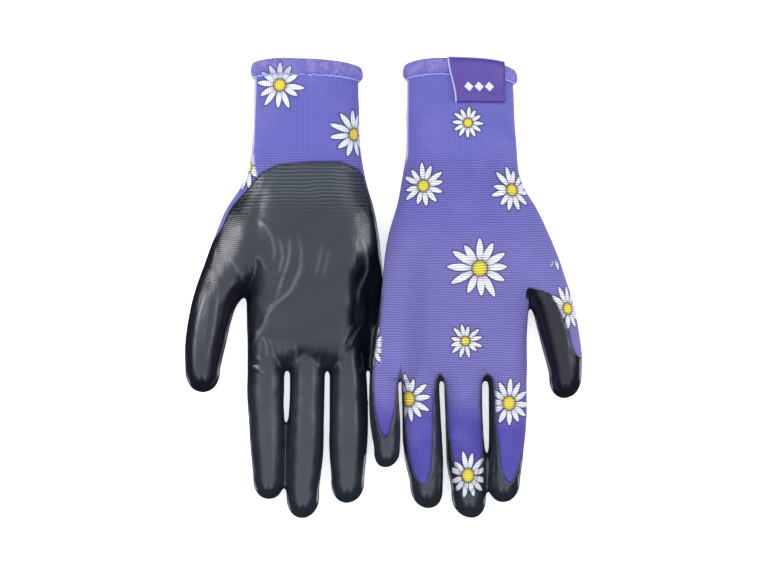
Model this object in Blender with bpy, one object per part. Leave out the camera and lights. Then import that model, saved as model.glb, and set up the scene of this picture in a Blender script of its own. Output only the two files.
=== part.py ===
"""Pair of knitted gardening gloves with a dipped nitrile palm.

Both gloves lie on the plane z = 0 with the fingers pointing to -Y. The glove
on the -X side lies palm up. The glove on the +X side lies palm down, and its
little finger rests on the other glove's little finger. Units are metres.
"""
import math

import bmesh
import bpy
from mathutils import Matrix, Vector

MM = 0.001

# Walls and gaps
COATING = 0.8 * MM
GAP = 0.3 * MM
KNIT = 1.2 * MM
KNIT_SINK = COATING + GAP
HEM_WALL = 2.4 * MM
STITCH_WALL = 0.6 * MM
LABEL_WALL = 1.0 * MM

# Round-cornered cross-sections
POWER = 2.5
HAND_POINTS = 20
FINGER_POINTS = 12

# Places along the glove
HEM_TOP = 117.0
HEM_FOOT = 108.6
CUFF_TOP = 108.3
STITCH_TOP = 107.4
STITCH_FOOT = 106.2
CUFF_FOOT = 70.3
HAND_TOP = 70.0
DIP_LINE = 62.0
THUMB_STEP = -8.0
THUMB_WEB = -12.0

# Cross-sections of cuff and hand: along, little-finger side, first-finger side,
# reach of the thumb's root beyond it, top
CUFF_STATIONS = [
    (CUFF_TOP, 12.0, 68.0, 0.0, 26.5),
    (88.0, 12.6, 67.4, 0.0, 26.0),
    (CUFF_FOOT, 12.0, 68.6, 0.0, 26.0),
]
HEM_STATIONS = [
    (HEM_TOP, 10.0, 69.2, 0.0, 26.8),
    (HEM_FOOT, 11.0, 68.8, 0.0, 26.8),
]
STITCH_STATIONS = [
    (STITCH_TOP, 11.7, 68.3, 0.0, 26.9),
    (STITCH_FOOT, 11.7, 68.3, 0.0, 26.9),
]
HAND_STATIONS = [
    (HAND_TOP, 12.0, 68.6, 0.0, 26.0),
    (DIP_LINE, 10.6, 69.4, 0.8, 26.4),
    (50.0, 8.2, 71.6, 3.8, 27.0),
    (36.0, 4.6, 74.0, 9.2, 27.4),
    (20.0, 1.4, 75.6, 14.2, 27.2),
    (6.0, -0.4, 76.4, 18.2, 26.4),
    (THUMB_STEP, -2.0, 76.6, 21.2, 25.0),
    (THUMB_WEB, -2.6, 76.2, 0.0, 24.6),
    (-24.0, -5.0, 74.8, 0.0, 22.4),
]
ROOT_START = 60.0
OPENING_START = 74.0

# The little-finger edges of the two gloves lie one over the other
EDGE_LIFT = 13.6
EDGE_PRESS = 0.42
EDGE_OUTER = 7.0
EDGE_INNER = 26.0
EDGE_START = 46.0
EDGE_FULL = 2.0

# Fingers: (along, little side, thumb side), tip (across, along), base, top
PALM_UP = {
    "side": -1.0,
    "palm": 1.0,
    "floor": -1.1,
    "knuckle": -40.5,
    "knuckle_edges": (-6.6, 74.0, 20.5),
    "fingers": {
        "thumb": ([(-9.0, 77.4, 98.4), (-24.0, 80.6, 101.4), (-40.0, 84.0, 102.4)],
                  (93.6, -54.0), 0.0, 20.0),
        "index": ([(-40.8, 50.9, 70.6), (-64.0, 51.0, 70.2), (-92.0, 51.2, 68.2)],
                  (59.2, -110.0), 0.0, 19.0),
        "middle": ([(-40.8, 29.9, 49.0), (-68.0, 30.4, 49.8), (-102.0, 32.6, 50.8)],
                   (42.2, -119.8), 0.0, 19.6),
        "ring": ([(-40.8, 9.4, 28.6), (-66.0, 8.9, 28.4), (-96.0, 10.2, 27.0)],
                 (19.2, -111.8), 0.0, 17.6),
        "little": ([(-40.8, -6.6, 7.6), (-60.0, -6.8, 7.8), (-80.0, -5.6, 8.0)],
                   (1.2, -92.4), 0.0, 12.4),
    },
}
PALM_DOWN = {
    "side": 1.0,
    "palm": -1.0,
    "floor": 0.0,
    "knuckle": -43.0,
    "knuckle_edges": (-6.8, 74.0, 20.5),
    "fingers": {
        "thumb": ([(-9.0, 77.4, 98.4), (-24.0, 81.8, 101.4), (-42.0, 85.2, 102.8)],
                  (94.0, -57.0), 0.0, 20.0),
        "index": ([(-43.3, 53.2, 73.9), (-66.0, 53.8, 72.8), (-94.0, 53.8, 70.2)],
                  (61.6, -111.0), 0.0, 19.0),
        "middle": ([(-43.3, 30.6, 51.6), (-70.0, 31.8, 52.6), (-103.0, 35.6, 53.2)],
                   (45.4, -119.6), 0.0, 19.6),
        "ring": ([(-43.3, 9.2, 29.2), (-68.0, 10.0, 30.2), (-98.0, 13.8, 30.9)],
                 (23.0, -114.2), 4.4, 21.6),
        "little": ([(-43.3, -7.0, 7.6), (-60.0, -7.4, 8.6), (-80.0, -5.4, 8.8)],
                   (1.0, -92.6), 13.8, 27.0),
    },
}

# Back opening of the finger coating, measured from the fingertip
WINDOW_END = 17.0
WINDOW_HALF_WIDTH = 0.5
TIP_ROUNDING = ((0.62, 0.9), (0.2, 0.58))
HAND_FLATTEN = 1.4

# Folded label over the hem of the palm-down glove
LABEL_ACROSS = (33.8, 61.8)
LABEL_COLUMNS = 6
LABEL_TOP = 116.4
LABEL_FOOT = 95.6
LABEL_STANDOFF = 0.6

COLOURS = {
    "knit": (0.162, 0.127, 0.578),
    "nitrile": (0.024, 0.028, 0.035),
    "thread": (0.305, 0.402, 0.831),
    "satin": (0.147, 0.08, 0.468),
}
ROUGHNESS = {"knit": 0.85, "nitrile": 0.35, "thread": 0.8, "satin": 0.4}


def clear_scene():
    for item in list(bpy.data.objects):
        bpy.data.objects.remove(item, do_unlink=True)


def material(name, kind):
    mat = bpy.data.materials.new(name + "_material")
    mat.use_nodes = True
    shader = mat.node_tree.nodes["Principled BSDF"]
    shader.inputs["Base Color"].default_value = COLOURS[kind] + (1.0,)
    shader.inputs["Roughness"].default_value = ROUGHNESS[kind]
    return mat


def smooth_step(value):
    value = max(0.0, min(1.0, value))
    return value * value * (3.0 - 2.0 * value)


def edge_share(across, along):
    """1 on the overlapped little-finger edge, 0 on the free part of the hand."""
    sideways = smooth_step((EDGE_INNER - across) / (EDGE_INNER - EDGE_OUTER))
    endways = smooth_step((EDGE_START - along) / (EDGE_START - EDGE_FULL))
    return sideways * endways


def settle_height(glove, across, along, height):
    share = edge_share(across, along)
    if glove["palm"] < 0.0:
        return height + EDGE_LIFT * share
    return height * (1.0 - EDGE_PRESS * share)


def section_point(across_low, across_high, low, high, turn):
    centre = (across_low + across_high) / 2.0
    reach = (across_high - across_low) / 2.0
    middle = (low + high) / 2.0
    rise = (high - low) / 2.0
    cosine = math.cos(turn)
    sine = math.sin(turn)
    across = centre + reach * math.copysign(abs(cosine) ** (2.0 / POWER), cosine)
    height = middle + rise * math.copysign(abs(sine) ** (2.0 / POWER), sine)
    return across, height


def add_ring(bm, points):
    ring = bmesh.ops.create_circle(bm, cap_ends=False, radius=MM, segments=len(points))
    for vert, point in zip(ring["verts"], points):
        vert.co = Vector(point) * MM
    return ring["verts"]


def ring_edges(ring):
    members = set(ring)
    found = {}
    for vert in ring:
        for edge in vert.link_edges:
            if edge.other_vert(vert) in members:
                found[edge] = None
    return list(found)


def join_rings(bm, rings):
    for first, second in zip(rings, rings[1:]):
        edges = ring_edges(first) + ring_edges(second)
        bmesh.ops.bridge_loops(bm, edges=list(dict.fromkeys(edges)))


def tube_surface(glove, stations, floor):
    """Open tube through cross-sections, flattened where it lies on the floor."""
    bm = bmesh.new()
    rings = []
    for along, across_low, across_high, root, top in stations:
        points = []
        for index in range(HAND_POINTS):
            turn = 2.0 * math.pi * (index + 0.5) / HAND_POINTS
            across, height = section_point(across_low, across_high, floor - HAND_FLATTEN, top, turn)
            beyond = max(0.0, across - ROOT_START) / (across_high - ROOT_START)
            across += root * beyond
            height = settle_height(glove, across, along, max(height, floor))
            points.append((glove["side"] * across, along, height))
        rings.append(add_ring(bm, points))
    join_rings(bm, rings)
    return bm


def finger_surface(glove, finger):
    """Finger from its open base to a rounded, closed tip."""
    stations, tip, low, top = finger
    bm = bmesh.new()
    last_along, last_low, last_high = stations[-1]
    shoulder = last_along - tip[1]
    rounded = [(along, near, far, top - low) for along, near, far in stations]
    for distance, share in TIP_ROUNDING:
        centre = tip[0] + (0.5 * (last_low + last_high) - tip[0]) * distance
        reach = 0.5 * (last_high - last_low) * share
        rounded.append((tip[1] + shoulder * distance, centre - reach, centre + reach,
                        (top - low) * share))
    rings = []
    for along, near, far, height_here in rounded:
        slack = (top - low - height_here) / 2.0
        points = []
        for index in range(FINGER_POINTS):
            turn = 2.0 * math.pi * (index + 0.5) / FINGER_POINTS
            across, height = section_point(near, far, low + slack, low + slack + height_here, turn)
            points.append((glove["side"] * across, along, height))
        rings.append(add_ring(bm, points))
    join_rings(bm, rings)
    end = bmesh.ops.contextual_create(bm, geom=ring_edges(rings[-1]))["faces"]
    poked = bmesh.ops.poke(bm, faces=end)
    middle = (low + top) / 2.0
    poked["verts"][0].co = Vector((glove["side"] * tip[0], tip[1], middle)) * MM
    return bm


def face_outwards(bm):
    """Turn an open surface so that its normals point away from its middle."""
    bmesh.ops.recalc_face_normals(bm, faces=bm.faces)
    centre = sum((v.co for v in bm.verts), Vector()) / len(bm.verts)
    score = 0.0
    for face in bm.faces:
        away = face.calc_center_median() - centre
        away.y = 0.0
        score += face.normal.dot(away) * face.calc_area()
    if score < 0.0:
        bmesh.ops.reverse_faces(bm, faces=bm.faces)
    bm.normal_update()


def sink(bm, depth, floor):
    """Move the surface inwards by the thickness of what covers it."""
    moves = [(vert, vert.normal.copy()) for vert in bm.verts]
    for vert, normal in moves:
        vert.co -= normal * depth
        vert.co.z = max(vert.co.z, floor * MM)
    bm.normal_update()


def drop_faces(bm, unwanted):
    doomed = [face for face in bm.faces if unwanted(face.calc_center_median() / MM, face.normal)]
    bmesh.ops.delete(bm, geom=doomed, context="FACES")


def to_object(bm, name, wall, kind, pivot):
    mesh = bpy.data.meshes.new(name)
    bm.transform(Matrix.Translation(-pivot))
    bm.to_mesh(mesh)
    bm.free()
    item = bpy.data.objects.new(name, mesh)
    bpy.context.scene.collection.objects.link(item)
    item.location = pivot
    mesh.materials.append(material(name, kind))
    skin = item.modifiers.new("wall", "SOLIDIFY")
    skin.thickness = wall
    skin.offset = -1.0
    skin.use_rim = True
    return item


def in_thumb_opening(centre):
    return THUMB_WEB < centre.y < THUMB_STEP and abs(centre.x) > OPENING_START


def hand_surface(glove, thumb_stations):
    edges = glove["knuckle_edges"]
    stations = thumb_stations + [(glove["knuckle"], edges[0], edges[1], 0.0, edges[2])]
    bm = tube_surface(glove, stations, glove["floor"])
    face_outwards(bm)
    return bm


def build_hand(prefix, glove):
    origin = Vector((0.0, 0.0, 0.0))
    knit = hand_surface(glove, HAND_STATIONS)
    drop_faces(knit, lambda centre, normal: in_thumb_opening(centre))
    knit.normal_update()
    sink(knit, KNIT_SINK, 0.0)
    to_object(knit, prefix + "hand_knit", KNIT, "knit", origin)

    coating = hand_surface(glove, HAND_STATIONS[1:])
    middle = 12.0

    def not_palm(centre, normal):
        level = settle_height(glove, glove["side"] * centre.x, centre.y, middle)
        off_side = (centre.z - level) * glove["palm"] < 0.0
        return off_side or in_thumb_opening(centre)

    drop_faces(coating, not_palm)
    to_object(coating, prefix + "palm_coating", COATING, "nitrile", origin)


def build_cuff(prefix, glove):
    origin = Vector((0.0, 0.0, 0.0))
    cuff = tube_surface(glove, CUFF_STATIONS, 0.0)
    face_outwards(cuff)
    sink(cuff, KNIT_SINK, 0.0)
    to_object(cuff, prefix + "cuff", KNIT, "knit", origin)
    stitching = tube_surface(glove, STITCH_STATIONS, 0.0)
    face_outwards(stitching)
    to_object(stitching, prefix + "hem_stitching", STITCH_WALL, "thread", origin)
    hem = tube_surface(glove, HEM_STATIONS, 0.0)
    face_outwards(hem)
    to_object(hem, prefix + "cuff_hem", HEM_WALL, "knit", origin)


def knuckle_pivot(glove, name, finger):
    """Point on the hinge line at the base of a finger, on the side it bends to."""
    stations, tip, low, top = finger
    base, near, far = stations[0]
    bends_up = glove["palm"] > 0.0
    if name == "little":
        bends_up = not bends_up
    height = top + 0.1 if bends_up else low - 0.1
    return Vector((glove["side"] * (near + far) / 2.0, base + 0.15, height)) * MM


def build_finger(prefix, glove, name, finger):
    stations, tip, low, top = finger
    pivot = knuckle_pivot(glove, name, finger)
    stall = finger_surface(glove, finger)
    face_outwards(stall)
    sink(stall, KNIT_SINK, 0.0)
    to_object(stall, prefix + name + "_stall", KNIT, "knit", pivot)

    coating = finger_surface(glove, finger)
    face_outwards(coating)
    middle = (low + top) / 2.0

    def in_window(centre, normal):
        on_back = (centre.z - middle) * glove["palm"] < -0.1 * (top - low)
        return on_back and centre.y > tip[1] + WINDOW_END and abs(normal.z) > WINDOW_HALF_WIDTH

    drop_faces(coating, in_window)
    to_object(coating, prefix + name + "_coating", COATING, "nitrile", pivot)


def label_height(glove, across, along):
    """Top of the cuff under the label."""
    low, high, top = 11.0, 68.8, 26.8
    share = abs((across - (low + high) / 2.0) / ((high - low) / 2.0))
    rise = (1.0 - share ** POWER) ** (1.0 / POWER)
    middle = (top - HAND_FLATTEN) / 2.0
    return middle + (top - middle) * rise + LABEL_STANDOFF


def build_label(glove):
    bm = bmesh.new()
    bmesh.ops.create_grid(bm, x_segments=LABEL_COLUMNS, y_segments=1, size=0.5)
    for vert in bm.verts:
        across = LABEL_ACROSS[0] + (vert.co.x + 0.5) * (LABEL_ACROSS[1] - LABEL_ACROSS[0])
        along = LABEL_FOOT + (vert.co.y + 0.5) * (LABEL_TOP - LABEL_FOOT)
        height = label_height(glove, across, along) + LABEL_WALL / MM
        vert.co = Vector((across, along, height)) * MM
    bmesh.ops.recalc_face_normals(bm, faces=bm.faces)
    if sum(face.normal.z for face in bm.faces) < 0.0:
        bmesh.ops.reverse_faces(bm, faces=bm.faces)
    top = label_height(glove, LABEL_ACROSS[0], LABEL_TOP) + LABEL_WALL / MM
    pivot = Vector((sum(LABEL_ACROSS) / 2.0, LABEL_TOP, top + 1.6)) * MM
    to_object(bm, "palm_down_label", LABEL_WALL, "satin", pivot)


def build_glove(prefix, glove):
    build_cuff(prefix, glove)
    build_hand(prefix, glove)
    for name, finger in glove["fingers"].items():
        build_finger(prefix, glove, name, finger)


clear_scene()
build_glove("palm_up_", PALM_UP)
build_glove("palm_down_", PALM_DOWN)
build_label(PALM_DOWN)
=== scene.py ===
"""Two knitted gardening gloves with dipped nitrile palms, one palm up and one palm down."""

import math

import bmesh
import bpy
import numpy as np
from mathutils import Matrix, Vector, noise


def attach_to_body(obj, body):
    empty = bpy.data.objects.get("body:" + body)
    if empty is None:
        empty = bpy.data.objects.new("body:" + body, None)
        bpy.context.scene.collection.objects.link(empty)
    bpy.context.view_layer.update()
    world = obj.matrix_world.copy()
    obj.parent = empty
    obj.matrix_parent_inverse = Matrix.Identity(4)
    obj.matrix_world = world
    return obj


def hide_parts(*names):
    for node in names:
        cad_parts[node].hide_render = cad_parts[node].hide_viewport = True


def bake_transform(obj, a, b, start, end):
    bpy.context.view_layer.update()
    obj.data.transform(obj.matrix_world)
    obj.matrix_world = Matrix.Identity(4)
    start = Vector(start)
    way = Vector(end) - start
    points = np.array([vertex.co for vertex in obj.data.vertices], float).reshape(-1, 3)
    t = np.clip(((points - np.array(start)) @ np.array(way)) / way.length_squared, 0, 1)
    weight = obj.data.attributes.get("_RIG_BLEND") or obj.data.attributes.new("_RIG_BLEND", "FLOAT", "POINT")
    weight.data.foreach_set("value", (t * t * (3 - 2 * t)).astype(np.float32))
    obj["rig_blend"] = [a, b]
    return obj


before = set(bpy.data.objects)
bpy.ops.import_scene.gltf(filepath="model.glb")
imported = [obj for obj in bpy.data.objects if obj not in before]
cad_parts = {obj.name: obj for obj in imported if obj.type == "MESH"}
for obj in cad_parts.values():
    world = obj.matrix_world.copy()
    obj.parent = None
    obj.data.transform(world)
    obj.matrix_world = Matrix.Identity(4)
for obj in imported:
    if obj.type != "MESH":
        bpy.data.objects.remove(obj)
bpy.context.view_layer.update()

MM = 0.001
TURN = 2.0 * math.pi
VOXEL = 0.94
SMOOTH_ROUNDS = 8
FINGER_NAMES = ["thumb", "index", "middle", "ring", "little"]
PART_NAMES = ["hand"] + FINGER_NAMES + ["cuff"]
CUFF = PART_NAMES.index("cuff")
# Where the ribbed cuff ends, and where it meets the hand
MOUTH = 116.4
CUFF_LINE = 70.3
# How square the cross-sections are: 2 is an ellipse
HAND_SQUARE = 2.35
FINGER_SQUARE = 2.0
# The hand's cross-section reaches this low, and is flattened on the table at 0
UNDERSIDE = -1.2
# Points around and along each form before the forms are joined
HAND_POINTS = (72, 70)
FINGER_POINTS = (40, 64)
# The first and last share of the rings close the ends of a form
END_SHARE = 0.02

# Both gloves, in millimetres. Everything across the hand is measured from the little-finger side
# towards the thumb: side is +1 where the thumb points to +X, palm is +1 where the palm faces up.
# split and thumb_split are where the fingers and the thumb bend.
# hand: along, the two borders across, top.
# fingers: rows of along and the two borders across, the tip, floor and top at the root, and at the tip.
# The pale line down the outer side of the cuff is a painted highlight; the last entry gives where it runs and
# how much it leans.
PALM_UP = {
    "prefix": "palm_up_",
    "side": -1.0,
    "palm": 1.0,
    "split": -41.5,
    "thumb_split": -8.6,
    "thumb_border": 73.2,
    "hand": [
        (122.0, 12.2, 66.6, 25.6), (104.0, 12.9, 66.8, 25.6), (88.0, 12.5, 67.2, 25.4),
        (74.0, 11.9, 68.2, 25.2), (64.0, 10.8, 69.2, 25.6), (52.0, 8.2, 70.8, 26.4),
        (41.0, 4.9, 72.4, 27.0), (27.0, 2.5, 72.6, 27.0), (12.0, 0.6, 71.8, 26.0),
        (0.0, -0.9, 71.0, 24.6), (-12.0, -2.6, 70.9, 23.4), (-20.0, -4.2, 70.8, 22.2),
        (-28.0, -5.5, 70.6, 20.4), (-36.0, -6.3, 70.6, 18.4), (-43.0, -6.8, 70.6, 15.6),
    ],
    "fingers": {
        "thumb": ([(66.0, 44.0, 68.2), (58.0, 42.0, 70.6), (50.0, 41.0, 75.4), (42.0, 41.0, 80.6),
                   (32.0, 43.0, 85.4), (22.0, 47.0, 89.2), (12.0, 55.0, 92.8), (0.0, 67.6, 97.2),
                   (-8.0, 75.2, 99.6), (-18.0, 79.1, 101.4), (-31.0, 82.2, 103.0),
                   (-42.0, 84.8, 102.8)], (93.6, -54.6), (0.0, 24.6), (0.0, 19.0)),
        "index": ([(-18.0, 51.4, 70.2), (-34.0, 51.2, 70.3), (-48.0, 51.4, 70.5), (-60.0, 51.8, 70.5),
                   (-72.0, 51.4, 69.6), (-86.0, 51.4, 68.6), (-98.0, 51.6, 67.6)],
                  (59.2, -110.0), (0.0, 18.6), (0.0, 18.0)),
        "middle": ([(-18.0, 30.4, 49.2), (-34.0, 30.2, 49.0), (-48.0, 30.5, 48.6), (-62.0, 30.7, 48.8),
                    (-76.0, 31.0, 49.9), (-90.0, 31.5, 50.3), (-104.0, 33.2, 50.4)],
                   (42.2, -119.9), (0.0, 18.8), (0.0, 18.4)),
        "ring": ([(-18.0, 9.8, 28.2), (-34.0, 9.8, 28.2), (-48.0, 8.8, 27.9), (-60.0, 8.1, 28.0),
                  (-72.0, 7.9, 28.0), (-84.0, 8.6, 28.1), (-98.0, 10.0, 27.2)],
                 (19.2, -112.0), (0.0, 18.2), (0.0, 17.4)),
        "little": ([(-18.0, -4.6, 7.2), (-34.0, -6.2, 7.0), (-48.0, -6.8, 6.8), (-60.0, -6.9, 6.3),
                    (-70.0, -6.6, 5.6), (-80.0, -5.8, 4.8)],
                   (-0.6, -89.4), (0.0, 12.8), (0.0, 12.2)),
    },
    "mouth_bow": 2.2,
    "mouth_slope": -1.2,
    "painted_rim_highlight": (-69.9, 0.036),
}
PALM_DOWN = {
    "prefix": "palm_down_",
    "side": 1.0,
    "palm": -1.0,
    "split": -44.0,
    "thumb_split": -9.4,
    "thumb_border": 76.8,
    "hand": [
        (122.0, 11.6, 67.6, 25.6), (104.0, 12.2, 67.4, 25.6), (88.0, 11.9, 67.9, 25.4),
        (71.0, 11.6, 69.1, 25.4), (56.0, 9.6, 70.6, 26.2), (44.0, 7.4, 72.8, 27.0),
        (28.0, 2.9, 74.8, 27.2), (16.0, 0.6, 75.8, 26.4), (4.0, -0.4, 76.0, 25.4),
        (-12.0, -2.6, 75.2, 23.4), (-24.0, -5.0, 74.4, 21.8), (-34.0, -6.2, 74.0, 20.6),
        (-42.0, -6.9, 73.8, 18.8), (-48.0, -7.2, 73.6, 15.6),
    ],
    "fingers": {
        "thumb": ([(66.0, 44.0, 68.4), (58.0, 42.0, 70.6), (50.0, 41.0, 73.8), (44.0, 41.0, 77.8),
                   (36.0, 43.0, 82.2), (25.0, 47.0, 87.0), (12.0, 57.0, 92.0), (0.0, 69.8, 96.0),
                   (-10.0, 76.2, 99.0), (-22.0, 80.0, 101.4), (-34.0, 83.0, 103.0),
                   (-45.0, 86.2, 102.8)], (93.8, -57.6), (0.0, 24.6), (0.0, 19.0)),
        "index": ([(-20.0, 54.2, 74.4), (-38.0, 54.4, 74.4), (-52.0, 54.5, 74.4), (-64.0, 54.6, 74.3),
                   (-76.0, 54.7, 73.7), (-88.0, 54.6, 72.6), (-100.0, 54.2, 70.8)],
                  (62.0, -111.6), (0.0, 18.6), (0.0, 18.0)),
        "middle": ([(-20.0, 31.4, 51.8), (-38.0, 31.2, 51.5), (-52.0, 31.5, 51.3), (-66.0, 32.1, 51.6),
                    (-80.0, 32.5, 52.3), (-92.0, 33.0, 53.4), (-104.0, 35.4, 53.1)],
                   (45.6, -119.7), (0.0, 18.8), (0.0, 18.4)),
        "ring": ([(-20.0, 10.4, 28.8), (-38.0, 9.8, 29.0), (-52.0, 9.4, 29.0), (-66.0, 9.8, 29.6),
                  (-80.0, 10.2, 30.4), (-90.0, 11.4, 31.0), (-101.0, 13.8, 30.8)],
                 (23.3, -114.3), (4.6, 22.6), (4.6, 21.8)),
        "little": ([(-20.0, -4.8, 7.6), (-34.0, -6.2, 7.6), (-48.0, -7.2, 7.6), (-60.0, -7.5, 8.2),
                    (-72.0, -6.6, 8.7), (-82.0, -4.9, 8.4)],
                   (0.9, -92.7), (13.8, 28.0), (13.8, 27.0)),
    },
    "mouth_bow": 3.5,
    "mouth_slope": 1.5,
    "painted_rim_highlight": (12.0, 0.004),
}

# How the overlapped little-finger edges settle: the upper one is lifted, the lower one pressed down.
# Across, the change is whole at EDGE_OUTER and gone at the inner place; along, it grows from start to full.
EDGE_LIFT = 13.6
EDGE_PRESS = 0.40
EDGE_OUTER = 7.0
EDGE_INNER = 26.0
EDGE_START = 46.0
EDGE_FULL = 2.0
PRESS_INNER = 20.0
PRESS_START = 20.0
PRESS_FULL = -4.0

# Bare windows on the finger backs: along, then the two borders across
WINDOWS = {
    "thumb": [(14.0, 48.0, 130.0), (4.0, 62.0, 130.0), (0.0, 75.0, 130.0), (-2.0, 83.0, 130.0),
              (-7.0, 87.7, 130.0), (-15.7, 92.3, 130.0), (-23.6, 95.4, 130.0),
              (-31.5, 97.4, 130.0), (-35.5, 100.0, 130.0), (-40.0, 108.0, 130.0), (-60.0, 130.0, 131.0)],
    "index": [(-24.0, 40.0, 90.0), (-41.0, 49.0, 86.0), (-46.0, 55.6, 83.0), (-51.0, 57.0, 80.0),
              (-63.0, 57.9, 78.0), (-72.0, 58.3, 75.0), (-85.0, 59.8, 72.6), (-94.5, 61.0, 69.6),
              (-99.0, 62.9, 67.6), (-101.6, 65.2, 65.4), (-112.0, 74.0, 57.0)],
    "middle": [(-24.0, 20.0, 62.0), (-41.0, 25.0, 58.0), (-46.0, 30.2, 52.4), (-52.0, 31.6, 51.0),
               (-70.0, 33.0, 51.2), (-84.0, 35.0, 51.4), (-90.0, 36.2, 51.2), (-95.0, 39.0, 49.6),
               (-101.0, 41.0, 48.0), (-106.0, 43.8, 45.6), (-116.0, 54.0, 37.0)],
    "ring": [(-24.0, -10.0, 40.0), (-40.0, 4.0, 34.0), (-45.0, 8.0, 28.6), (-50.0, 9.0, 26.9),
             (-60.0, 10.3, 26.0), (-70.0, 10.7, 25.8), (-80.0, 11.9, 25.6), (-90.0, 13.8, 25.0),
             (-97.0, 16.2, 23.8), (-101.0, 19.2, 22.0), (-102.4, 20.6, 20.8), (-112.0, 30.0, 12.0)],
    "little": [(12.0, -14.0, 40.0), (0.0, -2.4, 40.0), (-12.0, -1.7, 30.0), (-24.0, -3.2, 14.0),
               (-38.0, -5.2, 10.0), (-46.0, -5.6, 8.2), (-54.0, -5.4, 7.0), (-62.0, -4.6, 6.0),
               (-70.0, -2.8, 4.4), (-75.0, -0.8, 3.0), (-77.5, 0.8, 1.6), (-90.0, 7.0, -5.0)],
}
# Upper border of the dip on the palm: across, along
DIP_LINE = [(-20.0, 30.0), (4.0, 40.0), (7.0, 50.0), (9.6, 56.0), (13.2, 60.6), (22.0, 64.4),
            (38.0, 64.2), (54.0, 62.8), (62.4, 58.8), (66.4, 54.6), (71.2, 48.9), (76.9, 42.9), (80.0, 37.7),
            (83.5, 30.0), (88.0, 24.0), (130.0, 20.0)]


# ---------------------------------------------------------------- small maths
def smooth_step(value):
    value = np.clip(value, 0.0, 1.0)
    return value * value * (3.0 - 2.0 * value)


def smooth_table(rows, at):
    """Smooth curve through a table whose first column is the position."""
    table = np.array(sorted(rows))
    key, values = table[:, 0], table[:, 1:]
    slopes = np.gradient(values, key, axis=0)
    at = np.clip(np.asarray(at, float), key[0], key[-1])
    low = np.clip(np.searchsorted(key, at) - 1, 0, len(key) - 2)
    span = key[low + 1] - key[low]
    t = ((at - key[low]) / span)[..., None]
    span = span[..., None]
    a, b = values[low], values[low + 1]
    return (a * (2 * t ** 3 - 3 * t ** 2 + 1) + slopes[low] * span * (t ** 3 - 2 * t ** 2 + t)
            + b * (3 * t ** 2 - 2 * t ** 3) + slopes[low + 1] * span * (t ** 3 - t ** 2))


def edge_share(across, along, inner=EDGE_INNER, start=EDGE_START, full=EDGE_FULL):
    """How much a point belongs to the overlapped edge, from 0 to 1."""
    sideways = smooth_step((inner - across) / (inner - EDGE_OUTER))
    endways = smooth_step((start - along) / (start - full))
    return sideways * endways


def settle(glove, across, along, height):
    if glove["palm"] < 0.0:
        return height + EDGE_LIFT * edge_share(across, along)
    return height * (1.0 - EDGE_PRESS * edge_share(across, along, PRESS_INNER, PRESS_START, PRESS_FULL))


def section(low, high, floor, top, turn, power):
    """Point at this turn of a rounded cross-section."""
    cosine, sine = math.cos(turn), math.sin(turn)
    across = 0.5 * (low + high) + 0.5 * (high - low) * math.copysign(abs(cosine) ** (2 / power), cosine)
    height = 0.5 * (floor + top) + 0.5 * (top - floor) * math.copysign(abs(sine) ** (2 / power), sine)
    return across, height


# ---------------------------------------------------------------- forms
def shaped_ball(bm, around, along, place):
    """A ball whose rings are moved to the cross-sections that place() gives."""
    made = bmesh.ops.create_uvsphere(bm, u_segments=around, v_segments=along, radius=1.0)
    for vert in made["verts"]:
        share = math.acos(max(-1.0, min(1.0, vert.co.z))) / math.pi
        turn = math.atan2(vert.co.y, vert.co.x)
        vert.co = Vector(place(share, turn))


def add_hand(bm, glove):
    rows = glove["hand"]
    high, low = rows[0][0], rows[-1][0]

    def place(share, turn):
        spread = min(1.0, max(0.0, (share - END_SHARE) / (1.0 - 2.0 * END_SHARE)))
        along = high + (low - high) * spread
        near, far, top = smooth_table(rows, along)
        grow = min(1.0, share / END_SHARE, (1.0 - share) / END_SHARE)
        middle = 0.5 * (near + far)
        near, far = middle + (near - middle) * grow, middle + (far - middle) * grow
        across, height = section(near, far, UNDERSIDE, top, turn, HAND_SQUARE)
        height = 0.5 * top + (max(height, 0.0) - 0.5 * top) * grow
        height = float(settle(glove, across, along, height))
        return glove["side"] * across, along, height

    shaped_ball(bm, *HAND_POINTS, place)


def add_finger(bm, glove, name):
    rows, tip, base_range, tip_range = glove["fingers"][name]
    start = rows[0][0]
    length = start - tip[1]
    widths = smooth_table(rows, [rows[-1][0]])[0]
    # the rounded tip is a little longer than half the finger's width
    cap = 0.5 * (widths[1] - widths[0]) * 1.25

    def place(share, turn):
        # rings get closer towards the tip
        distance = length * (1.0 - min(1.0, share / 0.985)) ** 1.5
        along = tip[1] + distance
        near, far = smooth_table(rows, along)
        round_off = 1.0
        if distance < cap:
            round_off = math.sqrt(max(0.0, 1.0 - (1.0 - distance / cap) ** 2.1))
        grow = round_off * min(1.0, share / END_SHARE)
        mix = distance / length
        centre = 0.5 * (near + far)
        if distance < cap:
            centre += (tip[0] - centre) * (1.0 - distance / cap) ** 1.5
        half = 0.5 * (far - near) * grow
        floor = tip_range[0] + (base_range[0] - tip_range[0]) * mix
        top = tip_range[1] + (base_range[1] - tip_range[1]) * mix
        middle = 0.5 * (floor + top)
        across, height = section(centre - half, centre + half, middle - (middle - floor) * grow,
                                 middle + (top - middle) * grow, turn, FINGER_SQUARE)
        return glove["side"] * across, along, height

    shaped_ball(bm, *FINGER_POINTS, place)


def mesh_object(name, bm):
    mesh = bpy.data.meshes.new(name)
    bm.to_mesh(mesh)
    bm.free()
    item = bpy.data.objects.new(name, mesh)
    bpy.context.scene.collection.objects.link(item)
    return item


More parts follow.
